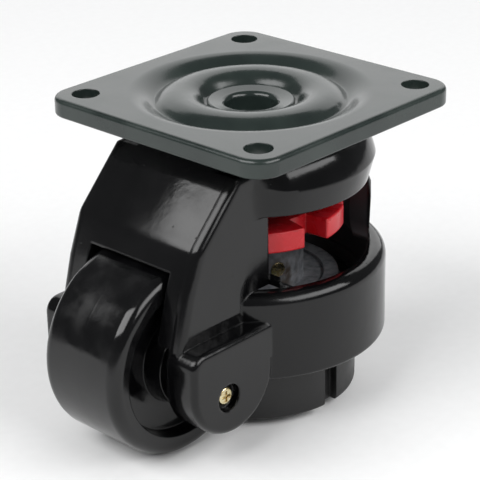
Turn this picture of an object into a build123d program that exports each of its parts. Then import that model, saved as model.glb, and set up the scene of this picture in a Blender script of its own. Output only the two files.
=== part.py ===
from build123d import *
import math
import os

# Levelling castor for a machine foot: a plate-mounted swivel head carries a nylon wheel on
# one side and, on the swivel axis, a screw-down foot that a toothed hand dial raises and lowers.
# Millimetres.  Origin: centre of the plate's upper (mounting) face, on the swivel axis.
# +Z runs up out of that face, the wheel stands towards -X and its axle lies along Y.

# --- driving dimensions -------------------------------------------------------------------
# mounting plate
PLATE_SIDE = 73.0
PLATE_THICK = 4.7
PLATE_CORNER_R = 6.8
PLATE_EDGE_R = 1.2         # rolled upper edge
PLATE_UNDER_R = 0.5
HOLE_MARGIN = 7.5         # from the plate's edge to a hole's centre
HOLE_D = 7.0
PRESS_R = 26.2            # where the pressed rings meet the flat plate
PRESS_SHEET = 2.8         # sheet left after pressing
FOLD_R = 24.0             # narrow fold outside the ball arch
FOLD_DEPTH = 1.0
ARCH_R = 17.5             # pitch radius of the ball arch
CENTRE_R = 11.6           # flat centre that the kingpin clamps
CENTRE_DEPTH = 3.5

# kingpin: a hollow rivet that clamps the plate and the lower ball cup
PIN_R = 8.8
PIN_BORE_R = 6.4
PIN_FLANGE_R = 11.0
PIN_FLANGE_THICK = 1.0
PIN_DISH = 0.5            # how far the flange dips towards the bore
PIN_MOUTH_R = 1.4         # rounding of the bore's mouth
RIVET_R = 10.4
RIVET_THICK = 1.2

# ball races
UPPER_BALL_D = 6.0
UPPER_BALLS = 12
LOWER_BALL_D = 4.0
LOWER_BALLS = 12
LOWER_BALL_PITCH_R = 13.2
UPPER_RACE_IN_R = 13.2
UPPER_RACE_OUT_R = 21.8
UPPER_RACE_THICK = 3.4
LOWER_RACE_IN_R = 10.3
LOWER_RACE_OUT_R = 17.4
LOWER_RACE_THICK = 2.4
CUP_THICK = 2.3
RACE_LEDGE = 1.7          # metal of the head between the two races
GROOVE_SHARE = 0.28       # groove depth as a share of the ball's diameter

# swivel head, one die casting with the hood and the fork
HEAD_TOP_Z = -5.5
HEAD_BORE_R = 9.7
COLLAR_R = 31.3
COLLAR_DRAFT = 0.3
DOME_R = 9.3
COLLAR_LIP_R = 0.3
WINDOW_TOP_Z = -22.5
WINDOW_BOTTOM_Z = -41.0
WINDOW_FRONT_X = -17.2
WINDOW_REAR_X = 22.0
WINDOW_CORNER_R = 3.0
POST_R = 30.9
POST_DRAFT = 0.8
CHAMBER_R = 26.0
RING_R = 34.2
RING_BOTTOM_Z = -64.0
RING_TOP_ROUND = 3.2
RING_BOTTOM_ROUND = 1.1
RING_WALL = 5.0           # at the ring's mouth
RING_RIM = 0.7            # bevel round the mouth
RING_MOUTH_DEEP = 9.0
RING_MOUTH_STEP = 1.6     # from the mouth in to the guide bore
GUIDE_RIB_WIDTH = 3.8
GUIDE_RIB_DEPTH = 2.2

# hood and fork
FORK_HALF = 21.0
FORK_WALL = 3.7
HOOD_SHEET = 3.5
HOOD_BEND = 0.45          # drop of the inner bend for each sheet thickness
HOOD_EDGE_R = 2.2
HOOD_TOP = (-27.5, -10.4)
HOOD_BROW = (-41.1, -24.6)
HOOD_SHIN = (-45.2, -35.3)
HOOD_TOE = (-48.5, -47.5)
HOOD_BROW_R = 7.0         # bend at the brow
SLOT_HALF = 13.6
SLOT_TOP_Z = -28.8
SLOT_FLARE_Z = -41.0      # where the slot has widened to the full well
BOSS_STEP = 5.3           # axle boss beyond the fork's outer face
BOSS_R = 14.0
BOSS_FORWARD = 2.2        # boss centre from the axle, towards the swivel axis
BOSS_DROP = 1.7
BOSS_CORNER_R = 4.0       # front end of the shelf
BOSS_EDGE_R = 1.6
BOSS_TOP_Z = -47.9

# wheel
AXLE_X = -37.5
AXLE_Z = -56.7
WHEEL_R = 24.9
WHEEL_HALF = 12.7
WHEEL_EDGE_R = 2.9
WHEEL_RIM = 5.0           # flat and rounding outside the dished side
WHEEL_DISH_SLOPE = 0.8    # run of the dish's sloping walls
WHEEL_DISH_DEPTH = 3.6
WHEEL_HUB_R = 11.0
WHEEL_HUB_HALF = 14.1
WHEEL_GAP = 1.4           # running gap between the tread and the casting or foot
AXLE_R = 4.0
AXLE_SINK = 4.0           # how far each end lies in its fork arm
BEARING_OUT_R = 8.0
BEARING_WIDTH = 5.0
BEARING_RING = 1.3
BEARING_SHOULDER = 1.2
COLLAR_WASHER_R = 7.0
KEEPER_R = 1.5
KEEPER_HEAD_R = 2.4
KEEPER_HEAD_HIGH = 1.3
KEEPER_LENGTH = 8.0
RECESS_R = 3.65
RECESS_DEPTH = 2.3

# dial and nut
DIAL_R = 23.6
DIAL_TEETH = 8
DIAL_TOOTH_SHARE = 0.59
DIAL_ROOT_R = 17.0
DIAL_TOOTH_TOP_Z = -29.2
DIAL_TOOTH_HIGH = 5.5
DIAL_HUB_R = 14.6
DIAL_EDGE_R = 0.5
DIAL_PHASE = 17.6         # turn of the first tooth from +X
NUT_R = 9.0
NUT_FLANGE_R = 11.5
NUT_FLANGE_THICK = 2.0
NUT_SPIGOT_HIGH = 12.0
THRUST_R = 12.0
THRUST_THICK = 1.2
CLIP_WIRE = 1.1
CLIP_BITE = 0.55

# lifting screw and foot
SCREW_R = 5.0
SCREW_TOP_Z = -11.5
FOOT_GAP = 1.1            # between the foot and the guide bore
FOOT_BOTTOM_Z = -79.3
PAD_TOP_Z = -52.6
PAD_WALL = 3.2
PAD_FLOOR = 4.5
CORE_DISC_R = 22.0
CORE_DISC_TOP_Z = -49.4
CORE_DISH_R = 18.3
CORE_DISH_DEPTH = 0.9
CORE_HUB_R = 13.0
KEYWAY_WIDTH = 4.6
KEYWAY_DEPTH = 2.3
HUB_SCREW_R = 1.2
HUB_SCREW_HEAD_R = 1.9
HUB_SCREW_HEAD_HIGH = 1.2
HUB_SCREW_Z = -44.3
HUB_SCREW_ANGLE = -109.0

# named clearances
SEAT = 0.05               # pieces seated in or on each other
RUN = 0.05                # running fit of a shaft in its bore
AIR = 0.3                 # free gap between moving faces

# --- derived sizes ------------------------------------------------------------------------
FORK_INNER = FORK_HALF - FORK_WALL
HOLE_SPACING = PLATE_SIDE - 2 * HOLE_MARGIN
UPPER_BALL_Z = -PRESS_SHEET - UPPER_BALL_D / 2 - 2 * SEAT
UPPER_GROOVE_Z = UPPER_BALL_Z - UPPER_BALL_D / 2 - SEAT
UPPER_RACE_TOP_Z = UPPER_GROOVE_Z + GROOVE_SHARE * UPPER_BALL_D
UPPER_RACE_BOTTOM_Z = UPPER_RACE_TOP_Z - UPPER_RACE_THICK
PLATE_CENTRE_Z = -CENTRE_DEPTH
LOWER_RACE_TOP_Z = UPPER_RACE_BOTTOM_Z - RACE_LEDGE
LOWER_RACE_BOTTOM_Z = LOWER_RACE_TOP_Z - LOWER_RACE_THICK
LOWER_BALL_Z = LOWER_RACE_BOTTOM_Z + GROOVE_SHARE * LOWER_BALL_D - LOWER_BALL_D / 2 - SEAT
CUP_TOP_Z = LOWER_BALL_Z - LOWER_BALL_D / 2 + GROOVE_SHARE * LOWER_BALL_D - SEAT
CUP_BOTTOM_Z = CUP_TOP_Z - CUP_THICK
PIN_BOTTOM_Z = CUP_BOTTOM_Z - RIVET_THICK
THRUST_TOP_Z = PIN_BOTTOM_Z - AIR
NUT_TOP_Z = THRUST_TOP_Z - THRUST_THICK
NUT_SPIGOT_R = PIN_BORE_R - RUN
DIAL_TOP_Z = NUT_TOP_Z - NUT_FLANGE_THICK
DIAL_TOOTH_BOTTOM_Z = DIAL_TOOTH_TOP_Z - DIAL_TOOTH_HIGH
CORE_HUB_TOP_Z = DIAL_TOOTH_BOTTOM_Z - 2 * AIR
BOSS_X = AXLE_X + BOSS_FORWARD
BOSS_FRONT_X = BOSS_X - BOSS_R
BOSS_REAR_X = 2 - math.sqrt(RING_R**2 - (FORK_HALF + BOSS_STEP) ** 2)
HOOD_SLOPE = (HOOD_TOP[1] - HOOD_BROW[1]) / (HOOD_TOP[0] - HOOD_BROW[0])
HOOD_CREST_X = HOOD_TOP[0] + (HEAD_TOP_Z - HOOD_TOP[1]) / HOOD_SLOPE
BOSS_Z = AXLE_Z - BOSS_DROP
BOSS_FACE = FORK_HALF + BOSS_STEP
KEEPER_Z = AXLE_Z - AXLE_R - KEEPER_R - SEAT
WELL_R = WHEEL_R + WHEEL_GAP
WHEEL_DISH_R = WHEEL_R - WHEEL_RIM
RING_MOUTH_R = RING_R - RING_WALL
FOOT_BORE_R = RING_MOUTH_R - RING_MOUTH_STEP
FOOT_R = FOOT_BORE_R - FOOT_GAP


def ring(inner_r, outer_r, bottom_z, top_z):
    """Flat ring about the swivel axis."""
    profile = Plane.XZ * Pos((inner_r + outer_r) / 2, (bottom_z + top_z) / 2) * Rectangle(
        outer_r - inner_r, top_z - bottom_z
    )
    return revolve(profile, Axis.Z)


def post(radius, bottom_z, top_z):
    """Upright cylinder on the swivel axis."""
    return Pos(0, 0, (bottom_z + top_z) / 2) * Cylinder(radius, top_z - bottom_z)


def block(x_low, x_high, half_y, z_low, z_high):
    """Box across the centre plane."""
    centre = Pos((x_low + x_high) / 2, 0, (z_low + z_high) / 2)
    return centre * Box(x_high - x_low, 2 * half_y, z_high - z_low)


def across(sketch, half_y):
    """Extrude a side-view outline both ways from the centre plane."""
    return extrude(Plane.XZ * sketch, half_y, both=True)


def axle_rod(radius, y_low, y_high, x=AXLE_X, z=AXLE_Z):
    """Cylinder along Y, on the axle unless told otherwise."""
    rod = Rot(90, 0, 0) * Cylinder(radius, y_high - y_low)
    return Pos(x, (y_low + y_high) / 2, z) * rod


def axle_ring(inner_r, outer_r, y_low, y_high):
    """Flat ring about the axle."""
    return axle_rod(outer_r, y_low, y_high) - axle_rod(inner_r, y_low - 1, y_high + 1)


def both_sides(piece):
    """The piece and its mirror image across the centre plane."""
    return [piece, mirror(piece, Plane.XZ)]


def groove(pitch_r, ball_d, ball_z):
    """Torus that cuts a ball track."""
    track = Plane.XZ * Pos(pitch_r, ball_z) * Circle(ball_d / 2 + SEAT)
    return revolve(track, Axis.Z)


def ball_row(count, ball_d, pitch_r, ball_z):
    """Evenly spaced balls."""
    return [Pos(place.position + Vector(0, 0, ball_z)) * Sphere(ball_d / 2)
            for place in PolarLocations(pitch_r, count)]


# --- plate --------------------------------------------------------------------------------
def make_top_plate():
    """Pressed steel plate: flat rim with four holes, and an arch that rides on the balls."""
    flat = extrude(RectangleRounded(PLATE_SIDE, PLATE_SIDE, PLATE_CORNER_R), -PLATE_THICK)
    rims = flat.edges().filter_by(Axis.Z, reverse=True).group_by(Axis.Z)
    flat = fillet(rims[-1], PLATE_EDGE_R)
    under = flat.edges().group_by(Axis.Z)[0]
    flat = fillet(under, PLATE_UNDER_R)
    for hole in GridLocations(HOLE_SPACING, HOLE_SPACING, 2, 2):
        flat -= hole * Pos(0, 0, -PLATE_THICK / 2) * Cylinder(HOLE_D / 2, 2 * PLATE_THICK)
    flat -= Pos(0, 0, -PLATE_THICK / 2) * Cylinder(PRESS_R, 2 * PLATE_THICK)
    return flat + revolve(pressing_section(), Axis.Z)


def arch_radius(run, drop):
    """Radius of an arc that leaves the crown level and drops by that much over that run."""
    return (run**2 + drop**2) / (2 * drop)


def pressing_section():
    """Half section of the pressed rings: rim slope, fold, ball arch and flat centre."""
    bore = PIN_R + SEAT
    outer_r = arch_radius(FOLD_R - ARCH_R, FOLD_DEPTH)
    inner_r = arch_radius(ARCH_R - CENTRE_R, CENTRE_DEPTH)
    outer_sweep = math.degrees(math.asin((FOLD_R - ARCH_R) / outer_r))
    inner_sweep = math.degrees(math.asin((ARCH_R - CENTRE_R) / inner_r))
    centre_under_z = -CENTRE_DEPTH - PRESS_SHEET
    with BuildSketch(Plane.XZ) as section:
        with BuildLine():
            Spline((PRESS_R, 0), (FOLD_R, -FOLD_DEPTH), tangents=[(-1, 0), (-1, 0.1)])
            CenterArc((ARCH_R, -outer_r), outer_r, 90 - outer_sweep, outer_sweep)
            inner = CenterArc((ARCH_R, -inner_r), inner_r, 90, inner_sweep)
            Line(inner @ 1, (bore, -CENTRE_DEPTH))
            Line((bore, -CENTRE_DEPTH), (bore, centre_under_z))
            under = CenterArc((ARCH_R, -inner_r), inner_r - PRESS_SHEET, 90 + inner_sweep, -inner_sweep)
            Polyline((bore, centre_under_z), ((under @ 0).X, centre_under_z), under @ 0)
            tail = CenterArc(
                (ARCH_R, -outer_r), outer_r - PRESS_SHEET, 90, -outer_sweep
            )
            Spline(tail @ 1, (PRESS_R, -PLATE_THICK), tangents=[tail % 1, (1, 0)])
            Line((PRESS_R, -PLATE_THICK), (PRESS_R, 0))
        make_face()
    return section.sketch


def make_kingpin():
    """Hollow rivet: flange above, shank, and the turned-over foot that holds the ball cup."""
    flange_z = PLATE_CENTRE_Z + PIN_FLANGE_THICK
    mouth_z = flange_z - PIN_DISH
    mouth_out_r = PIN_BORE_R + PIN_MOUTH_R
    with BuildSketch(Plane.XZ) as section:
        with BuildLine():
            Polyline(
                (mouth_out_r, mouth_z), (PIN_FLANGE_R - 0.4, flange_z), (PIN_FLANGE_R, flange_z - 0.3),
                (PIN_FLANGE_R, PLATE_CENTRE_Z), (PIN_R, PLATE_CENTRE_Z),
                (PIN_R, PIN_BOTTOM_Z + RIVET_THICK), (RIVET_R, PIN_BOTTOM_Z + RIVET_THICK),
                (RIVET_R, PIN_BOTTOM_Z), (PIN_BORE_R, PIN_BOTTOM_Z), (PIN_BORE_R, mouth_z - PIN_MOUTH_R),
            )
            CenterArc((mouth_out_r, mouth_z - PIN_MOUTH_R), PIN_MOUTH_R, 180, -90)
        make_face()
    pin = revolve(section.sketch, Axis.Z)
    clip_z = PIN_BOTTOM_Z + NUT_SPIGOT_HIGH - 2 * CLIP_WIRE
    return pin - ring(PIN_BORE_R - 1, PIN_BORE_R + CLIP_BITE + RUN, clip_z - RUN, clip_z + CLIP_WIRE + RUN)


def make_lower_cup():
    """Pressed cup on the kingpin that carries the lower row of balls."""
    cup = ring(PIN_R + SEAT, LOWER_RACE_OUT_R, CUP_BOTTOM_Z, CUP_TOP_Z)
    return cup - groove(LOWER_BALL_PITCH_R, LOWER_BALL_D, LOWER_BALL_Z)


# --- swivel head --------------------------------------------------------------------------
def head_outline():
    """Turned outline of the head: dome, collar, post zone and the lower ring."""
    collar_foot_r = COLLAR_R - COLLAR_DRAFT
    rim_top_z = WINDOW_BOTTOM_Z
    with BuildSketch(Plane.XZ) as section:
        with BuildLine():
            Line((0, HEAD_TOP_Z), (COLLAR_R - DOME_R, HEAD_TOP_Z))
            CenterArc((COLLAR_R - DOME_R, HEAD_TOP_Z - DOME_R), DOME_R, 90, -90)
            Line((COLLAR_R, HEAD_TOP_Z - DOME_R), (collar_foot_r, WINDOW_TOP_Z + COLLAR_LIP_R))
            Line((collar_foot_r, WINDOW_TOP_Z + COLLAR_LIP_R), (collar_foot_r - COLLAR_LIP_R, WINDOW_TOP_Z))
            Polyline(
                (collar_foot_r - COLLAR_LIP_R, WINDOW_TOP_Z),
                (POST_R - POST_DRAFT, rim_top_z),
                (RING_R - RING_TOP_ROUND, rim_top_z),
            )
            CenterArc((RING_R - RING_TOP_ROUND, rim_top_z - RING_TOP_ROUND), RING_TOP_ROUND, 90, -90)
            Line((RING_R, rim_top_z - RING_TOP_ROUND), (RING_R, RING_BOTTOM_Z + RING_BOTTOM_ROUND))
            CenterArc(
                (RING_R - RING_BOTTOM_ROUND, RING_BOTTOM_Z + RING_BOTTOM_ROUND),
                RING_BOTTOM_ROUND, 0, -90,
            )
            Polyline(
                (RING_R - RING_BOTTOM_ROUND, RING_BOTTOM_Z),
                (0, RING_BOTTOM_Z),
                (0, HEAD_TOP_Z),
            )
        make_face()
    return revolve(section.sketch, Axis.Z)


def fork_outline():
    """Side view of the hood and fork arms, from under the collar down into the bosses."""
    sill_z = RING_BOTTOM_Z + RING_BOTTOM_ROUND
    outline = Polygon(
        (WINDOW_FRONT_X, HOOD_TOP[1] + 1), HOOD_TOP, HOOD_BROW, HOOD_SHIN, HOOD_TOE,
        (HOOD_TOE[0], BOSS_Z), (BOSS_X, BOSS_Z), (BOSS_X, sill_z), (WINDOW_FRONT_X, sill_z),
        align=None,
    )
    brow = [corner for corner in outline.vertices() if abs(corner.Y - HOOD_BROW[1]) < SEAT]
    return fillet(brow, HOOD_BROW_R)


def make_fork_block():
    """Solid hood and fork with rounded outer edges."""
    body = across(fork_outline(), FORK_HALF)
    outer = [edge for edge in body.edges()
             if abs(abs(edge.center().Y) - FORK_HALF) < 0.01
             and edge.center().X < WINDOW_FRONT_X - 1 and edge.center().Z > HOOD_TOE[1]]
    return fillet(outer, HOOD_EDGE_R)


def boss_outline():
    """Side view of the axle boss: squared shelf on top, round below, its rear in the ring."""
    with BuildSketch() as side:
        with BuildLine():
            CenterArc((BOSS_X, BOSS_Z), BOSS_R, 180, 180)
            Polyline(
                (BOSS_X + BOSS_R, BOSS_Z), (BOSS_REAR_X, BOSS_Z), (BOSS_REAR_X, BOSS_TOP_Z),
                (BOSS_FRONT_X, BOSS_TOP_Z), (BOSS_FRONT_X, BOSS_Z),
            )
        make_face()
    corner = side.sketch.vertices().group_by(Axis.Y)[-1].sort_by(Axis.X)[0]
    return fillet(corner, BOSS_CORNER_R)


def make_boss():
    """Axle boss at the foot of one fork arm, its outer rim rounded where it stands free."""
    boss = extrude(Plane.XZ.offset(FORK_INNER) * boss_outline(), BOSS_FACE - FORK_INNER)
    rim = boss.faces().sort_by(Axis.Y)[0].edges()
    free = [edge for edge in rim if edge.center().X < BOSS_REAR_X - 0.5]
    return fillet(free, BOSS_EDGE_R)


def inner_wall():
    """Side-view points of the hood's inner face: brow, shin and toe."""
    brow = (HOOD_BROW[0] + HOOD_SHEET, HOOD_BROW[1] - HOOD_SHEET * HOOD_BEND)
    shin = (HOOD_SHIN[0] + HOOD_SHEET, HOOD_SHIN[1])
    toe = (HOOD_TOE[0] + HOOD_SHEET, HOOD_TOE[1])
    return brow, shin, toe


def well_outline():
    """Side view of the wheel well: inside the hood, open below."""
    roof_drop = HOOD_SHEET * math.hypot(1, HOOD_SLOPE)
    inner_back_x = -POST_R - AIR
    roof_z = HOOD_BROW[1] + HOOD_SLOPE * (inner_back_x - HOOD_BROW[0]) - roof_drop
    below_z = AXLE_Z - 2 * WHEEL_R
    open_x = AXLE_X - WELL_R
    return Polygon(
        (inner_back_x, roof_z), *inner_wall(),
        (open_x, BOSS_TOP_Z - HOOD_SHEET / 2), (open_x, below_z),
        (AXLE_X + WELL_R, below_z), (AXLE_X + WELL_R, AXLE_Z), (inner_back_x, AXLE_Z),
        align=None,
    )


def behind_front_wall():
    """Side view of all that lies behind the hood's front wall, or below its toe."""
    below_z = AXLE_Z - 2 * WHEEL_R
    open_x = AXLE_X - WELL_R - 1
    brow, shin, toe = inner_wall()
    return Polygon(
        brow, shin, toe, (open_x, BOSS_TOP_Z - HOOD_SHEET / 2), (open_x, below_z),
        (AXLE_X + WELL_R, below_z), (AXLE_X + WELL_R, brow[1]),
        align=None,
    )


def make_front_slot():
    """Slot in the hood's front for the tread: flares from its top down to the well's width."""
    front = Plane.YZ.offset(HOOD_TOE[0] - BOSS_R)
    outline = Polygon(
        (-SLOT_HALF, SLOT_TOP_Z), (SLOT_HALF, SLOT_TOP_Z),
        (FORK_INNER, SLOT_FLARE_Z), (FORK_INNER, BOSS_TOP_Z),
        (-FORK_INNER, BOSS_TOP_Z), (-FORK_INNER, SLOT_FLARE_Z),
        align=None,
    )
    return extrude(front * outline, AXLE_X - HOOD_TOE[0] + BOSS_R)


def window_outline():
    """Side view of the dial window: square under the collar, soft corners at its sill."""
    wide = WINDOW_REAR_X - WINDOW_FRONT_X
    high = WINDOW_TOP_Z - WINDOW_BOTTOM_Z
    centre = ((WINDOW_FRONT_X + WINDOW_REAR_X) / 2, (WINDOW_TOP_Z + WINDOW_BOTTOM_Z) / 2)
    opening = Pos(*centre) * Rectangle(wide, high)
    sill = opening.vertices().group_by(Axis.Y)[0]
    return fillet(sill, WINDOW_CORNER_R)


def head_trim():
    """Turned metal that stands outside the hood's slope and the fork's flat sides."""
    hood = Polygon(
        (HOOD_CREST_X, HEAD_TOP_Z), HOOD_BROW, HOOD_SHIN, HOOD_TOE,
        (HOOD_TOE[0] - RING_R, HOOD_TOE[1]), (HOOD_TOE[0] - RING_R, HEAD_TOP_Z),
        align=None,
    )
    slope = across(hood, FORK_HALF)
    sides = block(-RING_R, WINDOW_FRONT_X, 2 * RING_R, WINDOW_BOTTOM_Z, WINDOW_TOP_Z)
    return slope + sides - block(-RING_R, 0, FORK_HALF, WINDOW_BOTTOM_Z, WINDOW_TOP_Z)


def make_housing():
    """Die-cast swivel head, hood and fork in one piece."""
    body = head_outline() - head_trim() + make_fork_block()
    for boss in both_sides(make_boss()):
        body += boss
    below_z = RING_BOTTOM_Z - BOSS_R
    mouth_floor_z = WINDOW_BOTTOM_Z - RING_MOUTH_DEEP
    body -= post(CHAMBER_R, WINDOW_BOTTOM_Z, WINDOW_TOP_Z)
    body -= post(FOOT_BORE_R, below_z, WINDOW_BOTTOM_Z)
    body -= post(RING_MOUTH_R, mouth_floor_z, WINDOW_BOTTOM_Z)
    rim = Cone(RING_MOUTH_R, RING_MOUTH_R + RING_RIM, RING_RIM)
    body -= Pos(0, 0, WINDOW_BOTTOM_Z - RING_RIM / 2) * rim
    body -= across(well_outline(), FORK_INNER)
    body -= axle_rod(WELL_R, -FORK_INNER, FORK_INNER) & across(behind_front_wall(), FORK_INNER)
    body -= axle_rod(WELL_R, -SLOT_HALF, SLOT_HALF)
    body -= make_front_slot()
    body -= across(window_outline(), 2 * RING_R)
    body -= ring(0, HEAD_BORE_R, WINDOW_TOP_Z - 1, HEAD_TOP_Z + 1)
    body -= ring(0, UPPER_RACE_OUT_R + SEAT, UPPER_RACE_BOTTOM_Z - SEAT, HEAD_TOP_Z + 1)
    body -= ring(0, LOWER_RACE_OUT_R + SEAT, WINDOW_TOP_Z - 1, LOWER_RACE_TOP_Z + SEAT)
    for side in (-1, 1):
        inner = FORK_INNER * side
        outer = (FORK_INNER + AXLE_SINK + SEAT) * side
        low, high = sorted((inner - side, outer))
        body -= axle_rod(AXLE_R + SEAT, low, high)
        drop = Box(2 * (AXLE_R + SEAT), high - low, BOSS_R + BOSS_DROP)
        body -= Pos(AXLE_X, (low + high) / 2, AXLE_Z - (BOSS_R + BOSS_DROP) / 2) * drop
        face = BOSS_FACE * side
        floor = (BOSS_FACE - RECESS_DEPTH) * side
        low, high = sorted((face + side, floor))
        body -= axle_rod(RECESS_R, low, high, z=KEEPER_Z)
        low, high = sorted((face, inner))
        body -= axle_rod(KEEPER_R + SEAT, low, high, z=KEEPER_Z)
        rib_y = (FOOT_BORE_R - GUIDE_RIB_DEPTH / 2 + 0.5) * side
        rib_high = mouth_floor_z - RING_BOTTOM_Z - RING_BOTTOM_ROUND
        rib = Box(GUIDE_RIB_WIDTH, GUIDE_RIB_DEPTH + 1, rib_high)
        body += Pos(0, rib_y, RING_BOTTOM_Z + RING_BOTTOM_ROUND + rib_high / 2) * rib
    return body


def make_upper_race():
    """Hardened ring let into the top of the head."""
    race = ring(UPPER_RACE_IN_R, UPPER_RACE_OUT_R, UPPER_RACE_BOTTOM_Z, UPPER_RACE_TOP_Z)
    return race - groove(ARCH_R, UPPER_BALL_D, UPPER_BALL_Z)


def make_head_race():
    """Hardened ring under the head's ledge, above the lower balls."""
    race = ring(LOWER_RACE_IN_R, LOWER_RACE_OUT_R, LOWER_RACE_BOTTOM_Z, LOWER_RACE_TOP_Z)
    return race - groove(LOWER_BALL_PITCH_R, LOWER_BALL_D, LOWER_BALL_Z)


# --- wheel --------------------------------------------------------------------------------
def make_wheel():
    """Moulded nylon wheel: rounded tread, dished sides, hub with two bearing seats."""
    bearing_in = WHEEL_HUB_HALF - BEARING_WIDTH
    with BuildSketch() as half:
        with BuildLine():
            Polyline(
                (BEARING_OUT_R - BEARING_SHOULDER, 0),
                (BEARING_OUT_R - BEARING_SHOULDER, bearing_in - SEAT),
                (BEARING_OUT_R + SEAT, bearing_in - SEAT),
                (BEARING_OUT_R + SEAT, WHEEL_HUB_HALF),
                (WHEEL_HUB_R, WHEEL_HUB_HALF),
                (WHEEL_HUB_R + WHEEL_DISH_SLOPE, WHEEL_HALF - WHEEL_DISH_DEPTH),
                (WHEEL_DISH_R - WHEEL_DISH_SLOPE, WHEEL_HALF - WHEEL_DISH_DEPTH),
                (WHEEL_DISH_R, WHEEL_HALF),
                (WHEEL_R - WHEEL_EDGE_R, WHEEL_HALF),
            )
            CenterArc((WHEEL_R - WHEEL_EDGE_R, WHEEL_HALF - WHEEL_EDGE_R), WHEEL_EDGE_R, 90, -90)
            Polyline(
                (WHEEL_R, WHEEL_HALF - WHEEL_EDGE_R), (WHEEL_R, 0),
                (BEARING_OUT_R - BEARING_SHOULDER, 0),
            )
        make_face()
    section = half.sketch + mirror(half.sketch, Plane.XZ)
    return Pos(AXLE_X, 0, AXLE_Z) * revolve(Plane.XY * section, Axis.Y)


def bearing_span():
    """Where the bearing on the +Y side starts and ends."""
    return WHEEL_HUB_HALF - BEARING_WIDTH, WHEEL_HUB_HALF


def make_bearing_outer_rings():
    low, high = bearing_span()
    return both_sides(axle_ring(BEARING_OUT_R - BEARING_RING, BEARING_OUT_R, low, high))


def make_bearing_inner_rings():
    low, high = bearing_span()
    return both_sides(axle_ring(AXLE_R + SEAT, AXLE_R + BEARING_RING, low, high))


def make_bearing_shields():
    """Two shields a bearing, fixed in the outer ring and clear of the inner ring."""
    low, high = bearing_span()
    inner = AXLE_R + BEARING_RING + 2 * RUN
    outer = BEARING_OUT_R - BEARING_RING - SEAT
    shields = []
    for start in (low + 0.3, high - 0.8):
        shields += both_sides(axle_ring(inner, outer, start, start + 0.5))
    return shields


def make_bearing_spacer():
    return axle_ring(AXLE_R + SEAT, AXLE_R + BEARING_RING, -bearing_span()[0], bearing_span()[0])


def make_axle_washers():
    """Collars that fill the gap between each bearing and its fork arm."""
    return both_sides(axle_ring(AXLE_R + SEAT, COLLAR_WASHER_R, WHEEL_HUB_HALF + AIR, FORK_INNER))


def make_axle():
    reach = FORK_INNER + AXLE_SINK
    rod = axle_rod(AXLE_R, -reach, reach)
    return chamfer(rod.edges().filter_by(GeomType.CIRCLE), 0.5)


def make_keeper_screws():
    """Screw under each end of the axle: it closes the slot that the axle drops in."""
    floor = BOSS_FACE - RECESS_DEPTH
    head = axle_rod(KEEPER_HEAD_R, -floor - KEEPER_HEAD_HIGH, -floor, z=KEEPER_Z)
    crown = head.edges().filter_by(GeomType.CIRCLE).sort_by(Axis.Y)[0]
    head = fillet(crown, KEEPER_HEAD_HIGH * 0.6)
    cross = Box(KEEPER_HEAD_R * 1.2, KEEPER_HEAD_HIGH, 0.6) + Box(0.6, KEEPER_HEAD_HIGH, KEEPER_HEAD_R * 1.2)
    head -= Pos(AXLE_X, -floor - KEEPER_HEAD_HIGH, KEEPER_Z) * cross
    shank = axle_rod(KEEPER_R, -floor, -floor + KEEPER_LENGTH - KEEPER_HEAD_HIGH, z=KEEPER_Z)
    return both_sides(head + shank)


# --- dial ---------------------------------------------------------------------------------
def make_dial():
    """Moulded hand dial: eight square teeth on a web round a raised hub."""
    pitch = 360 / DIAL_TEETH
    tooth_angle = pitch * DIAL_TOOTH_SHARE
    wedge_out = 2 * DIAL_R
    corners = [(0, 0)]
    for angle in (-tooth_angle / 2, tooth_angle / 2):
        corners.append((wedge_out * math.cos(math.radians(angle)), wedge_out * math.sin(math.radians(angle))))
    wedge = Polygon(*corners, align=None)
    rim = Circle(DIAL_ROOT_R)
    for tooth in range(DIAL_TEETH):
        rim += (Rot(0, 0, DIAL_PHASE + tooth * pitch) * wedge) & Circle(DIAL_R)
    toothed = Pos(0, 0, DIAL_TOOTH_BOTTOM_Z) * extrude(rim, DIAL_TOOTH_HIGH)
    tips = [edge for edge in toothed.edges() if math.hypot(edge.center().X, edge.center().Y) > DIAL_ROOT_R + 1]
    toothed = fillet(tips, DIAL_EDGE_R)
    dial = toothed + post(DIAL_HUB_R, DIAL_TOOTH_BOTTOM_Z, DIAL_TOP_Z)
    dial -= post(NUT_R + SEAT, DIAL_TOOTH_BOTTOM_Z - 1, DIAL_TOP_Z + 1)
    return dial - post(NUT_FLANGE_R + SEAT, DIAL_TOP_Z - SEAT, DIAL_TOP_Z + 1)


def make_dial_nut():
    """Steel nut moulded in the dial, with a spigot that turns in the kingpin."""
    nut = ring(SCREW_R + RUN, NUT_R, DIAL_TOOTH_BOTTOM_Z, NUT_TOP_Z)
    nut += ring(SCREW_R + RUN, NUT_FLANGE_R, DIAL_TOP_Z, NUT_TOP_Z)
    nut += ring(SCREW_R + RUN, NUT_SPIGOT_R, NUT_TOP_Z, PIN_BOTTOM_Z + NUT_SPIGOT_HIGH)
    clip_z = PIN_BOTTOM_Z + NUT_SPIGOT_HIGH - 2 * CLIP_WIRE
    return nut - ring(NUT_SPIGOT_R - CLIP_BITE, NUT_R, clip_z, clip_z + CLIP_WIRE)


def make_thrust_washer():
    return ring(NUT_SPIGOT_R + SEAT, THRUST_R, NUT_TOP_Z, THRUST_TOP_Z)


def make_snap_ring():
    """Split ring that keeps the nut's spigot in the kingpin."""
    clip_z = PIN_BOTTOM_Z + NUT_SPIGOT_HIGH - 2 * CLIP_WIRE
    wire = ring(NUT_SPIGOT_R - CLIP_BITE + SEAT, PIN_BORE_R + CLIP_BITE - RUN, clip_z + RUN, clip_z + CLIP_WIRE - RUN)
    gap = Pos(NUT_SPIGOT_R, 0, clip_z) * Box(3, 2, 4 * CLIP_WIRE)
    return wire - gap


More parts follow.
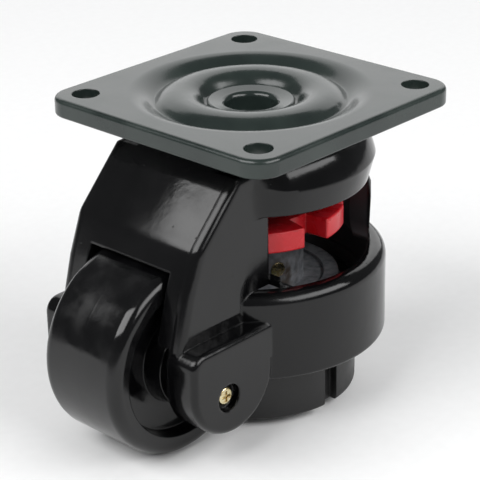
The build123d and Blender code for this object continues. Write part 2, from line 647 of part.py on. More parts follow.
# --- lifting screw and foot ---------------------------------------------------------------
def wheel_relief():
    """Side view of what the foot must give up so that it clears the wheel at any height."""
    relief_x = AXLE_X + WELL_R
    top_z = CORE_HUB_TOP_Z + 1
    upright = Pos((relief_x + AXLE_X) / 2, (AXLE_Z + top_z) / 2) * Rectangle(WELL_R, top_z - AXLE_Z)
    return Pos(AXLE_X, AXLE_Z) * Circle(WELL_R) + upright


def keyways(depth):
    """Two upright grooves that ride on the housing's guide ribs."""
    tall = CORE_HUB_TOP_Z - FOOT_BOTTOM_Z
    cutter = Box(KEYWAY_WIDTH, 2 * depth, 2 * tall)
    return [Pos(0, side * FOOT_R, FOOT_BOTTOM_Z) * cutter for side in (-1, 1)]


def make_foot_core():
    """Die-cast core: hub round the screw, dished disc, and the body inside the pad."""
    core_r = FOOT_R - PAD_WALL
    core_bottom_z = FOOT_BOTTOM_Z + PAD_FLOOR
    core = post(CORE_HUB_R, CORE_DISC_TOP_Z - 1, CORE_HUB_TOP_Z)
    core = chamfer(core.edges().sort_by(Axis.Z)[-1], 0.6)
    core += post(CORE_DISC_R, PAD_TOP_Z - 1, CORE_DISC_TOP_Z)
    core -= ring(CORE_HUB_R, CORE_DISH_R, CORE_DISC_TOP_Z - CORE_DISH_DEPTH, CORE_DISC_TOP_Z + 1)
    core += post(core_r - SEAT, core_bottom_z + SEAT, PAD_TOP_Z - SEAT)
    core -= across(wheel_relief(), SLOT_HALF + AIR)
    core -= post(SCREW_R + SEAT, core_bottom_z + 4, CORE_HUB_TOP_Z + 1)
    core -= hub_screw_rod(HUB_SCREW_R + SEAT, 0, CORE_HUB_R + 1)
    return core - hub_screw_rod(HUB_SCREW_HEAD_R + SEAT, CORE_HUB_R - 0.9, CORE_HUB_R + 1)


def hub_screw_rod(radius, start_r, end_r):
    """Cylinder that points at the lifting screw through the side of the hub."""
    rod = Rot(0, 90, 0) * Cylinder(radius, end_r - start_r)
    placed = Pos((start_r + end_r) / 2, 0, HUB_SCREW_Z) * rod
    return Rot(0, 0, HUB_SCREW_ANGLE) * placed


def make_hub_screw():
    """Cross-head screw that pins the lifting screw in the hub."""
    seat_r = CORE_HUB_R - 0.9
    return hub_screw_rod(HUB_SCREW_R, SCREW_R + SEAT, seat_r) + hub_screw_rod(
        HUB_SCREW_HEAD_R, seat_r, seat_r + HUB_SCREW_HEAD_HIGH
    )


def make_foot_pad():
    """Moulded pad: a cup round the core with the keyways and the wheel relief."""
    pad = post(FOOT_R, FOOT_BOTTOM_Z, PAD_TOP_Z)
    pad = fillet(pad.edges().filter_by(GeomType.CIRCLE), 0.8)
    pad -= post(FOOT_R - PAD_WALL, FOOT_BOTTOM_Z + PAD_FLOOR, PAD_TOP_Z + 1)
    pad -= across(wheel_relief(), SLOT_HALF + AIR)
    for keyway in keyways(KEYWAY_DEPTH):
        pad -= keyway
    return pad


def make_spindle():
    """Lifting screw: fixed in the foot, it rises through the dial's nut into the kingpin."""
    bottom_z = FOOT_BOTTOM_Z + PAD_FLOOR + 4 + SEAT
    rod = post(SCREW_R, bottom_z, SCREW_TOP_Z)
    return chamfer(rod.edges().sort_by(Axis.Z)[-1], 0.8)


PIECES = {
    "top_plate": make_top_plate,
    "kingpin": make_kingpin,
    "lower_cup": make_lower_cup,
    "housing": make_housing,
    "upper_race": make_upper_race,
    "head_race": make_head_race,
    "upper_balls": lambda: ball_row(UPPER_BALLS, UPPER_BALL_D, ARCH_R, UPPER_BALL_Z),
    "lower_balls": lambda: ball_row(LOWER_BALLS, LOWER_BALL_D, LOWER_BALL_PITCH_R, LOWER_BALL_Z),
    "axle": make_axle,
    "axle_washers": make_axle_washers,
    "bearing_spacer": make_bearing_spacer,
    "bearing_inner_rings": make_bearing_inner_rings,
    "keeper_screws": make_keeper_screws,
    "wheel": make_wheel,
    "bearing_outer_rings": make_bearing_outer_rings,
    "bearing_shields": make_bearing_shields,
    "dial": make_dial,
    "dial_nut": make_dial_nut,
    "thrust_washer": make_thrust_washer,
    "snap_ring": make_snap_ring,
    "spindle": make_spindle,
    "foot_core": make_foot_core,
    "foot_pad": make_foot_pad,
    "hub_screw": make_hub_screw,
}


def main():
    os.makedirs("parts", exist_ok=True)
    for name, make in PIECES.items():
        made = make()
        solids = made if isinstance(made, list) else [made]
        shape = solids[0] if len(solids) == 1 else Compound(children=solids)
        export_step(shape, f"parts/{name}.step")
        print(name, round(shape.volume, 1))


if __name__ == "__main__":
    main()
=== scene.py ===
"""Levelling castor: finishes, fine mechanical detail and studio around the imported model."""
import logging
import math
from dataclasses import dataclass, field
from enum import Enum
from typing import Optional

import bmesh
import bpy
from mathutils import Matrix, Vector


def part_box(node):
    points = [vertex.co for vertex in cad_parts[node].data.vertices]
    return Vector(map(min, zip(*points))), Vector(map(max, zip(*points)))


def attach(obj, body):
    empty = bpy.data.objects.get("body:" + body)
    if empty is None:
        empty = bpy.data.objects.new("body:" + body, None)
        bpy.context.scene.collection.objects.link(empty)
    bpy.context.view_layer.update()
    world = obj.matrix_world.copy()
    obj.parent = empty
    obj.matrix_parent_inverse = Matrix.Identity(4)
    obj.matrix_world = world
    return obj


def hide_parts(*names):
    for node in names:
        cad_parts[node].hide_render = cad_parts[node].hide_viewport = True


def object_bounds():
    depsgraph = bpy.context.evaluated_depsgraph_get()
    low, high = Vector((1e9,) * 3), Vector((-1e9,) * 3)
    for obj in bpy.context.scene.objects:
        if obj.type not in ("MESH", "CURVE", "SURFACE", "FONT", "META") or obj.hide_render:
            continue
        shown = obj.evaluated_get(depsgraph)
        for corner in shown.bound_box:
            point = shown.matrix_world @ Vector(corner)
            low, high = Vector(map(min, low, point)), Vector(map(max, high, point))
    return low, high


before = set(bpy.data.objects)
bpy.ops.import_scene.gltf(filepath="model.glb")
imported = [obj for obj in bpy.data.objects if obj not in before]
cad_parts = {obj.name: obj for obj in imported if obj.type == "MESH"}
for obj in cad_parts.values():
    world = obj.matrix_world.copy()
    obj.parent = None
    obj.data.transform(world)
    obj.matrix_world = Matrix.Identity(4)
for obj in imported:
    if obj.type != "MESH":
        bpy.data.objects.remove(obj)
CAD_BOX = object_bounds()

LOG = logging.getLogger("levelling_castor")
MM = 0.001
WELD_MM = 0.001         # corners closer than this are one
STUB_MM = 0.002         # edges shorter than this are dropped
HAIR_MM = 0.01          # heights closer than this are one height
UPWARD = 0.99           # upward share of a level face's normal
EDGE_SAMPLES = 6        # rays that shade a rounded edge
Socket = bpy.types.NodeSocket


class Body(Enum):
    """Rigid groups of the castor."""

    PLATE = "mounting_plate"
    HEAD = "swivel_head"
    WHEEL = "wheel_set"
    DIAL = "dial_set"
    FOOT = "foot_set"


def linear_colour(code: str) -> tuple[float, float, float, float]:
    """Turn an sRGB hex code into a linear colour.

    Args:
        code: six hex digits with a leading hash.

    Returns:
        Linear red, green, blue and an alpha of one.
    """
    parts = [int(code[i:i + 2], 16) / 255 for i in (1, 3, 5)]
    linear = [p / 12.92 if p <= 0.04045 else ((p + 0.055) / 1.055) ** 2.4 for p in parts]
    return (linear[0], linear[1], linear[2], 1.0)


def per_metre(size_mm: float) -> float:
    """Texture scale whose features are about this many millimetres across."""
    return 1.0 / (size_mm * MM)


def add_node(
    tree: bpy.types.NodeTree,
    kind: str,
    inputs: Optional[dict[object, object]] = None,
    output: object = 0,
    settings: Optional[dict[str, object]] = None,
) -> Socket:
    """Add one node with its settings, socket values and links.

    Args:
        tree: node tree that takes the node.
        kind: Blender's type name of the node.
        inputs: a value, a hex colour or a source socket, by the name or place of the input.
        output: name or place of the output that is handed back.
        settings: node properties by name.

    Returns:
        The chosen output socket.
    """
    node = tree.nodes.new(kind)
    for name, value in (settings or {}).items():
        setattr(node, name, value)
    for place, value in (inputs or {}).items():
        if isinstance(value, Socket):
            tree.links.new(value, node.inputs[place])
        elif isinstance(value, str):
            node.inputs[place].default_value = linear_colour(value)
        else:
            node.inputs[place].default_value = value
    return node.outputs[output]


# --- finishes -----------------------------------------------------------------------------
@dataclass(frozen=True)
class Ripple:
    """Even ripple in a surface.

    Args:
        size_mm: distance from crest to crest.
        depth_mm: height of the crests.
        fine: how much finer ripple it carries.
    """

    size_mm: float
    depth_mm: float
    fine: float = 2.0


@dataclass(frozen=True)
class Patches:
    """Soft patches in a coat.

    Args:
        size_mm: size of a patch.
        low: cloud value where a patch begins.
        high: cloud value where it is full.
        fine: how much finer detail the edges have.
    """

    size_mm: float
    low: float = 0.35
    high: float = 0.65
    fine: float = 3.0


@dataclass
class Ground:
    """Surface that a finish works on.

    Args:
        tree: shader tree of the material.
        shader: its main shader.
        place: place on the object, in metres.
        normal: normal, with the relief worked so far.
        colour: hex colour or socket, with the tints laid so far.
        rough: roughness or socket, so far.
    """

    tree: bpy.types.NodeTree
    shader: bpy.types.Node
    place: Socket
    normal: Socket
    colour: object
    rough: object

    def spread(self, patches: Patches) -> Socket:
        """Spread soft patches.

        Args:
            patches: their size and edges.

        Returns:
            The mask, from zero to one.
        """
        cloud = add_node(
            self.tree, "ShaderNodeTexNoise",
            {"Vector": self.place, "Scale": per_metre(patches.size_mm), "Detail": patches.fine},
        )
        return add_node(
            self.tree, "ShaderNodeMapRange",
            {"Value": cloud, "From Min": patches.low, "From Max": patches.high},
        )

    def coat(self, mask: Socket, colour: Optional[str] = None, rough: Optional[float] = None) -> None:
        """Lay a colour and a roughness over what is there, through a mask.

        Args:
            mask: zero keeps what is there, one shows the new coat.
            colour: hex colour of the coat, where it changes the colour.
            rough: roughness of the coat, where it changes the shine.
        """
        if colour is not None:
            self.colour = add_node(
                self.tree, "ShaderNodeMix", {0: mask, 6: self.colour, 7: colour}, 2, {"data_type": "RGBA"}
            )
        if rough is not None:
            self.rough = add_node(
                self.tree, "ShaderNodeMapRange", {"Value": mask, "To Min": self.rough, "To Max": rough}
            )

    def raise_by(self, height: Socket, depth_mm: float) -> None:
        """Work a height pattern of this real depth into the surface."""
        self.normal = add_node(
            self.tree, "ShaderNodeBump",
            {"Distance": depth_mm * MM, "Height": height, "Normal": self.normal},
        )

    def ripple(self, ripple: Ripple) -> None:
        """Work an even ripple into the surface.

        Args:
            ripple: its size and depth.
        """
        waves = add_node(
            self.tree, "ShaderNodeTexNoise",
            {"Vector": self.place, "Scale": per_metre(ripple.size_mm), "Detail": ripple.fine},
        )
        self.raise_by(waves, ripple.depth_mm)

    def near(
        self, centre: tuple[float, float, float], inner_mm: float, outer_mm: float,
        axes: tuple[float, float, float] = (1.0, 1.0, 1.0),
    ) -> Socket:
        """Mask that is one near a point, or near an axis, and fades out.

        Args:
            centre: the point, in millimetres.
            inner_mm: radius that is fully covered.
            outer_mm: radius where it has faded out.
            axes: zero for an axis along which distance doesn't count.

        Returns:
            The mask.
        """
        flat = add_node(
            self.tree, "ShaderNodeVectorMath", {0: self.place, 1: axes}, 0, {"operation": "MULTIPLY"}
        )
        away = add_node(
            self.tree, "ShaderNodeVectorMath",
            {0: flat, 1: tuple(c * MM for c in centre)}, "Value", {"operation": "DISTANCE"},
        )
        return add_node(
            self.tree, "ShaderNodeMapRange",
            {"Value": away, "From Min": inner_mm * MM, "From Max": outer_mm * MM,
             "To Min": 1.0, "To Max": 0.0},
        )

    def across(self, axis: str, low_mm: float, high_mm: float) -> Socket:
        """Run from zero to one between two places along an axis.

        Args:
            axis: X, Y or Z.
            low_mm: place of zero.
            high_mm: place of one.

        Returns:
            The run, held at its ends.
        """
        along = add_node(self.tree, "ShaderNodeSeparateXYZ", {0: self.place}, axis)
        return add_node(
            self.tree, "ShaderNodeMapRange",
            {"Value": along, "From Min": low_mm * MM, "From Max": high_mm * MM},
        )

    def overlap(self, *masks: Socket) -> Socket:
        """Mask of the places that all of these cover.

        Args:
            masks: two masks or more.

        Returns:
            Their product.
        """
        shared = masks[0]
        for mask in masks[1:]:
            shared = add_node(
                self.tree, "ShaderNodeMath", {0: shared, 1: mask}, 0, {"operation": "MULTIPLY"}
            )
        return shared


@dataclass(frozen=True)
class Finish:
    """Base of every finish: patches of two shades and two degrees of shine, and ripples.

    Args:
        name: the material's name.
        colour: main colour.
        second: colour of the patches.
        shiny: roughness between the patches.
        dull: roughness of the patches.
        metallic: one for bare metal.
        ior: index of refraction; a metal keeps the default.
        edge_mm: radius that edges are shaded with.
        patches: size and edges of the patches.
        ripples: ripples in the surface, coarse ones first.
    """

    name: str = "plain"
    colour: str = "#808080"
    second: str = "#808080"
    shiny: float = 0.4
    dull: float = 0.5
    metallic: float = 0.0
    ior: float = 1.5
    edge_mm: float = 0.25
    patches: Patches = Patches(5.0)
    ripples: tuple[Ripple, ...] = ()

    def build(self) -> bpy.types.Material:
        """Make the material.

        Returns:
            The finished material.
        """
        material = bpy.data.materials.new(self.name)
        material.use_nodes = True
        tree = material.node_tree
        shader = tree.nodes["Principled BSDF"]
        shader.inputs["Base Color"].default_value = linear_colour(self.colour)
        shader.inputs["Metallic"].default_value = self.metallic
        if not self.metallic:
            shader.inputs["IOR"].default_value = self.ior
        place = add_node(tree, "ShaderNodeTexCoord", output="Object")
        rounded = add_node(
            tree, "ShaderNodeBevel", {"Radius": self.edge_mm * MM}, 0, {"samples": EDGE_SAMPLES}
        )
        ground = Ground(tree, shader, place, rounded, self.colour, self.shiny)
        self.work(ground)
        tree.links.new(ground.colour, shader.inputs["Base Color"])
        tree.links.new(ground.rough, shader.inputs["Roughness"])
        tree.links.new(ground.normal, shader.inputs["Normal"])
        return material

    def work(self, ground: Ground) -> None:
        """Lay the patches and work the ripples.

        Args:
            ground: surface to work on.
        """
        ground.coat(ground.spread(self.patches), self.second, self.dull)
        for ripple in self.ripples:
            ground.ripple(ripple)


@dataclass(frozen=True)
class PlateElectrocoat(Finish):
    """Dark green-grey electrocoat over pressed steel: thin and even, with a silky shine.

    Slow changes of shade show in the flat, and a faint ripple of the pressed sheet bends its
    reflections.
    """

    name: str = "electrocoat_on_pressed_steel"
    colour: str = "#202826"
    second: str = "#29322f"
    shiny: float = 0.16
    dull: float = 0.26
    edge_mm: float = 0.5
    patches: Patches = Patches(14.0)
    ripples: tuple[Ripple, ...] = (Ripple(16.0, 0.05, 1.0), Ripple(2.2, 0.006))


@dataclass(frozen=True)
class CastingEnamel(Finish):
    """Gloss black stoved enamel on a zinc die casting: deep, glossy, a little wavy.

    The casting's waves bend the reflections, its pits show as filled dimples, and inside the
    dial's chamber the coat is thin, dull and greyer.

    Args:
        pit_mm: distance between pits.
        pit_share: part of that distance that a pit takes.
        pit_deep_mm: depth of a filled pit.
        hood_half_mm: half the width of the hood's flat.
        hood_back_mm: where the flat's swell begins.
        hood_front_mm: where it is full.
        crown_mm: how much the flat swells towards its middle.
        thin_coat: colour of the coat inside the chamber.
        thin_rough: its roughness.
        chamber_r_mm: radius of the chamber.
        chamber_top_mm: height of its top.
        chamber_front_mm: where it begins behind the hood.
        fade_mm: width in which the thin coat fades out.
    """

    name: str = "black_enamel_on_die_casting"
    colour: str = "#060607"
    second: str = "#0b0b0c"
    shiny: float = 0.08
    dull: float = 0.2
    ior: float = 1.42
    edge_mm: float = 0.8
    patches: Patches = Patches(22.0)
    ripples: tuple[Ripple, ...] = (Ripple(12.0, 0.1), Ripple(1.8, 0.012))
    pit_mm: float = 5.0
    pit_share: float = 0.06
    pit_deep_mm: float = 0.04
    hood_half_mm: float = 18.0
    hood_back_mm: float = -14.0
    hood_front_mm: float = -22.0
    crown_mm: float = 0.8
    thin_coat: str = "#3a3a3c"
    thin_rough: float = 0.5
    chamber_r_mm: float = 29.3
    chamber_top_mm: float = -22.4
    chamber_front_mm: float = -7.4
    fade_mm: float = 0.6

    def work(self, ground: Ground) -> None:
        """Crown the hood, lay the coat and its ripples, thin it in the chamber and pit it.

        Args:
            ground: surface to work on.
        """
        self.crown(ground)
        super().work(ground)
        ground.coat(self.chamber(ground), self.thin_coat, self.thin_rough)
        pits = add_node(
            ground.tree, "ShaderNodeTexVoronoi",
            {"Vector": ground.place, "Scale": per_metre(self.pit_mm)}, "Distance",
        )
        filled = add_node(ground.tree, "ShaderNodeMapRange", {"Value": pits, "From Max": self.pit_share})
        ground.raise_by(filled, self.pit_deep_mm)

    def chamber(self, ground: Ground) -> Socket:
        """Mask of the dial's chamber.

        Args:
            ground: surface to work on.

        Returns:
            The mask.
        """
        axis = (0.0, 0.0, 0.0)
        within = ground.near(axis, self.chamber_r_mm, self.chamber_r_mm + self.fade_mm, (1.0, 1.0, 0.0))
        behind = ground.across("X", self.chamber_front_mm, self.chamber_front_mm + self.fade_mm)
        below = ground.across("Z", self.chamber_top_mm, self.chamber_top_mm - self.fade_mm)
        return ground.overlap(within, behind, below)

    def crown(self, ground: Ground) -> None:
        """Let the hood's flat swell a little towards its middle.

        Args:
            ground: surface to work on.
        """
        near = ground.across("Y", 0.0, -self.hood_half_mm)
        far = ground.across("Y", 0.0, self.hood_half_mm)
        hollow = add_node(
            ground.tree, "ShaderNodeMath",
            {0: ground.overlap(near, near), 1: ground.overlap(far, far)}, 0, {"operation": "ADD"},
        )
        swell = add_node(ground.tree, "ShaderNodeMath", {0: 1.0, 1: hollow}, 0, {"operation": "SUBTRACT"})
        hood = ground.across("X", self.hood_back_mm, self.hood_front_mm)
        ground.raise_by(ground.overlap(swell, hood), self.crown_mm)


@dataclass(frozen=True)
class BearingSteel(Finish):
    """Hardened bearing steel, ground and oiled: grey, with an uneven film of oil.

    The grinding marks are finer than can be seen, so they are drawn 0.5 mm apart.
    """

    name: str = "ground_bearing_steel"
    colour: str = "#9b9a96"
    second: str = "#7d776c"
    shiny: float = 0.18
    dull: float = 0.34
    metallic: float = 1.0
    edge_mm: float = 0.12
    patches: Patches = Patches(4.0, 0.4, 0.7)
    ripples: tuple[Ripple, ...] = (Ripple(0.5, 0.004, 1.0),)


@dataclass(frozen=True)
class LappedSteel(Finish):
    """Chrome steel of the bearing balls, lapped to a mirror: grease dulls it in places."""

    name: str = "lapped_ball_steel"
    colour: str = "#b9b9bb"
    second: str = "#8f8a80"
    shiny: float = 0.07
    dull: float = 0.19
    metallic: float = 1.0
    edge_mm: float = 0.05
    patches: Patches = Patches(2.0, 0.45, 0.75)


@dataclass(frozen=True)
class ZincPlate(Finish):
    """Bright zinc plate on turned steel: pale, slightly milky, with small changes of shade.

    The turning marks under the plate are drawn 0.4 mm apart, coarser than they are.
    """

    name: str = "bright_zinc_plate"
    colour: str = "#a9adb0"
    second: str = "#8d9194"
    shiny: float = 0.22
    dull: float = 0.38
    metallic: float = 1.0
    edge_mm: float = 0.15
    patches: Patches = Patches(3.0)
    ripples: tuple[Ripple, ...] = (Ripple(0.4, 0.004, 1.0),)


@dataclass(frozen=True)
class YellowChromate(Finish):
    """Yellow chromate over zinc: pale gold with blooms of brown and of olive.

    Args:
        olive: colour of the second bloom.
        olive_patches: its size and edges.
    """

    name: str = "yellow_chromate_on_zinc"
    colour: str = "#d8cda6"
    second: str = "#b99c6a"
    shiny: float = 0.2
    dull: float = 0.36
    metallic: float = 1.0
    edge_mm: float = 0.12
    patches: Patches = Patches(1.3, 0.45, 0.65)
    ripples: tuple[Ripple, ...] = (Ripple(0.3, 0.006, 1.0),)
    olive: str = "#a8a66c"
    olive_patches: Patches = Patches(2.6, 0.5, 0.7)

    def work(self, ground: Ground) -> None:
        """Bloom the gold with two tints."""
        super().work(ground)
        ground.coat(ground.spread(self.olive_patches), self.olive)


@dataclass(frozen=True)
class MouldedNylon(Finish):
    """Injection-moulded black nylon: glossy, with flow mottling and shallow sink marks.

    Args:
        parting_mm: half the width of the parting line round the tread.
        parting_high_mm: its height.
    """

    name: str = "moulded_black_nylon"
    colour: str = "#070708"
    second: str = "#0e0e0f"
    shiny: float = 0.1
    dull: float = 0.26
    ior: float = 1.46
    edge_mm: float = 0.5
    patches: Patches = Patches(7.0, 0.4, 0.66, 4.0)
    ripples: tuple[Ripple, ...] = (Ripple(10.0, 0.1, 1.0), Ripple(0.9, 0.008, 3.0))
    parting_mm: float = 0.4
    parting_high_mm: float = 0.008

    def work(self, ground: Ground) -> None:
        """Lay the mottling and raise the parting line.

        Args:
            ground: surface to work on.
        """
        super().work(ground)
        one_side = ground.across("Y", -self.parting_mm, 0.0)
        other_side = ground.across("Y", self.parting_mm, 0.0)
        ground.raise_by(ground.overlap(one_side, other_side), self.parting_high_mm)


@dataclass(frozen=True)
class RedAcetal(Finish):
    """Red moulded acetal: saturated, waxy and glossy, with soft flow lines.

    Args:
        soak: part of the light that soaks in.
        soak_reach: how far red, green and blue light go, in metres.
    """

    name: str = "red_moulded_acetal"
    colour: str = "#b80f18"
    second: str = "#c4202a"
    shiny: float = 0.2
    dull: float = 0.34
    ior: float = 1.46
    edge_mm: float = 0.35
    patches: Patches = Patches(6.0)
    ripples: tuple[Ripple, ...] = (Ripple(0.7, 0.006),)
    soak: float = 0.06
    soak_reach: tuple[float, float, float] = (0.002, 0.0005, 0.0004)

    def work(self, ground: Ground) -> None:
        """Lay the flow lines and let light soak in.

        Args:
            ground: surface to work on.
        """
        super().work(ground)
        ground.shader.inputs["Subsurface Weight"].default_value = self.soak
        ground.shader.inputs["Subsurface Radius"].default_value = self.soak_reach


@dataclass(frozen=True)
class BareCasting(Finish):
    """Bare zinc die casting: chill marks of its skin, dulled by handling, and brown grease.

    Args:
        grease: colour of the assembly grease.
        grease_spot: middle of the smears, by the lock screw, in millimetres.
        grease_full_mm: radius where they are thickest.
        grease_reach_mm: radius where they end.
        grease_patches: size and edges of the smears.
        grease_deep_mm: thickness of the grease.
    """

    name: str = "bare_zinc_die_casting"
    colour: str = "#8a8c90"
    second: str = "#606367"
    shiny: float = 0.3
    dull: float = 0.5
    metallic: float = 0.45
    edge_mm: float = 0.35
    patches: Patches = Patches(2.4, 0.35, 0.68, 4.0)
    ripples: tuple[Ripple, ...] = (Ripple(2.4, 0.05),)
    grease: str = "#3a2a18"
    grease_spot: tuple[float, float, float] = (-3.0, -15.5, -46.0)
    grease_full_mm: float = 2.4
    grease_reach_mm: float = 8.0
    grease_patches: Patches = Patches(3.2, 0.44, 0.6, 5.0)
    grease_deep_mm: float = 0.08

    def work(self, ground: Ground) -> None:
        """Lay the casting's skin and smear grease round the lock screw.

        Args:
            ground: surface to work on.
        """
        super().work(ground)
        reach = ground.near(self.grease_spot, self.grease_full_mm, self.grease_reach_mm)
        smear = ground.overlap(reach, ground.spread(self.grease_patches))
        ground.coat(smear, self.grease)
        ground.raise_by(smear, self.grease_deep_mm)


@dataclass(frozen=True)
class PadRubber(Finish):
    """Black moulded rubber: matt, with a fine grain and a pale, dusty bloom in patches."""

    name: str = "black_moulded_rubber"
    colour: str = "#0b0b0b"
    second: str = "#171717"
    shiny: float = 0.36
    dull: float = 0.52
    edge_mm: float = 0.5
    patches: Patches = Patches(8.0, 0.45, 0.7, 4.0)
    ripples: tuple[Ripple, ...] = (Ripple(0.8, 0.02),)


@dataclass(frozen=True)
class OiledSteel(Finish):
    """Rolled screw steel with an oil finish: darker and duller where the oil has gathered."""

    name: str = "oiled_screw_steel"
    colour: str = "#5b5a57"
    second: str = "#35322c"
    shiny: float = 0.22
    dull: float = 0.4
    metallic: float = 1.0
    edge_mm: float = 0.08
    patches: Patches = Patches(3.0, 0.4, 0.65)


@dataclass(frozen=True)
class StudioPaper(Finish):
    """Seamless white paper, calendered: matt, with its fibre drawn 3 mm coarse so that it shows."""

    name: str = "white_studio_paper"
    colour: str = "#f4f4f4"
    second: str = "#f6f6f6"
    shiny: float = 0.9
    dull: float = 0.95
    edge_mm: float = 0.01
    patches: Patches = Patches(3.0, 0.3, 0.7)


# --- sub-assemblies -----------------------------------------------------------------------
class PaintShop:
    """Keeps one material for each finish."""

    def __init__(self) -> None:
        """Start with an empty shelf."""
        self.shelf: dict[Finish, bpy.types.Material] = {}

    def mix(self, finish: Finish) -> bpy.types.Material:
        """Hand out a finish's material, made once.

        Args:
            finish: the finish that is wanted.

        Returns:
            Its material.
        """
        if finish not in self.shelf:
            self.shelf[finish] = finish.build()
        return self.shelf[finish]


@dataclass
class SubAssembly:
    """Pieces that share one body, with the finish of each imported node.

    Args:
        body: rigid group that the pieces ride on.
        finishes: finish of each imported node.
    """

    body: Body
    finishes: dict[str, Finish] = field(default_factory=dict)

    def dress(self, shop: PaintShop) -> None:
        """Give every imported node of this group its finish.

        Args:
            shop: keeps the materials.
        """
        for node, finish in self.finishes.items():
            material = shop.mix(finish)
            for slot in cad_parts[node].material_slots:
                slot.material = material
            LOG.info("%s: %s wears %s", self.body.value, node, finish.name)

    def build(self, shop: PaintShop) -> None:
        """Dress the nodes of a group that has no pieces of its own."""
        self.dress(shop)

    def fit(
        self, mesh: bpy.types.Mesh, name: str, finish: Finish, slot: str, shop: PaintShop, *nodes: str
    ) -> bpy.types.Object:
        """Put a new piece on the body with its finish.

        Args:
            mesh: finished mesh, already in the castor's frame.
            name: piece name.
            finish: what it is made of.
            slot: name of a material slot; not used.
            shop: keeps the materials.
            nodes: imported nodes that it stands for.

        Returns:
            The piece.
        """
        piece = bpy.data.objects.new(name, mesh)
        bpy.context.scene.collection.objects.link(piece)
        piece.data.materials.append(shop.mix(finish))
        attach(piece, self.body.value)
        if nodes:
            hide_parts(*nodes)
        LOG.info("%s: made %s", self.body.value, name)
        return piece


def grid_mesh(name: str, rows: list[list[Vector]]) -> bpy.types.Mesh:
    """Skin a list of closed rings.

    Args:
        name: mesh name.
        rows: rings of points, all of one length.

    Returns:
        The mesh, shaded smooth.
    """
    mesh = bpy.data.meshes.new(name)
    count = len(rows[0])
    verts = [tuple(point) for row in rows for point in row]
    faces = []
    for first in range(0, count * (len(rows) - 1), count):
        for here in range(count):
            after = (here + 1) % count
            low, high = first, first + count
            faces.append((low + here, low + after, high + after, high + here))
    mesh.from_pydata(verts, [], faces)
    mesh.validate()
    for polygon in mesh.polygons:
        polygon.use_smooth = True
    return mesh


def smooth_step(value: float) -> float:
    """Ease from zero to one."""
    held = min(1.0, max(0.0, value))
    return held * held * (3 - 2 * held)


def open_copy(node: str) -> bmesh.types.BMesh:
    """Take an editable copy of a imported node's mesh, with its seams welded.

    Args:
        node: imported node, which stays as it is.

    Returns:
        The copy.
    """
    work = bmesh.new()
    work.from_mesh(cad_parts[node].data)
    bmesh.ops.remove_doubles(work, verts=work.verts, dist=WELD_MM * MM)
    return work


def close_copy(work: bmesh.types.BMesh, name: str, crease_deg: float = 28.0) -> bpy.types.Mesh:
    """Turn an edited copy into a mesh with soft curves and sharp creases.

    Args:
        work: edited copy, freed here.
        name: name of the mesh.
        crease_deg: bend that stays sharp.

    Returns:
        The mesh.
    """
    bmesh.ops.dissolve_degenerate(work, dist=STUB_MM * MM, edges=work.edges)
    mesh = bpy.data.meshes.new(name)
    work.to_mesh(mesh)
    work.free()
    if "custom_normal" in mesh.attributes:
        mesh.attributes.remove(mesh.attributes["custom_normal"])
    for polygon in mesh.polygons:
        polygon.use_smooth = True
    mesh.set_sharp_from_angle(angle=math.radians(crease_deg))
    return mesh


def even_shading(piece: bpy.types.Object) -> None:
    """Let large flats keep their own shade beside narrow rounded edges.

    Args:
        piece: piece whose shading is evened.
    """
    shading = piece.modifiers.new("even_shading", "WEIGHTED_NORMAL")
    shading.mode = "FACE_AREA"
    shading.keep_sharp = True


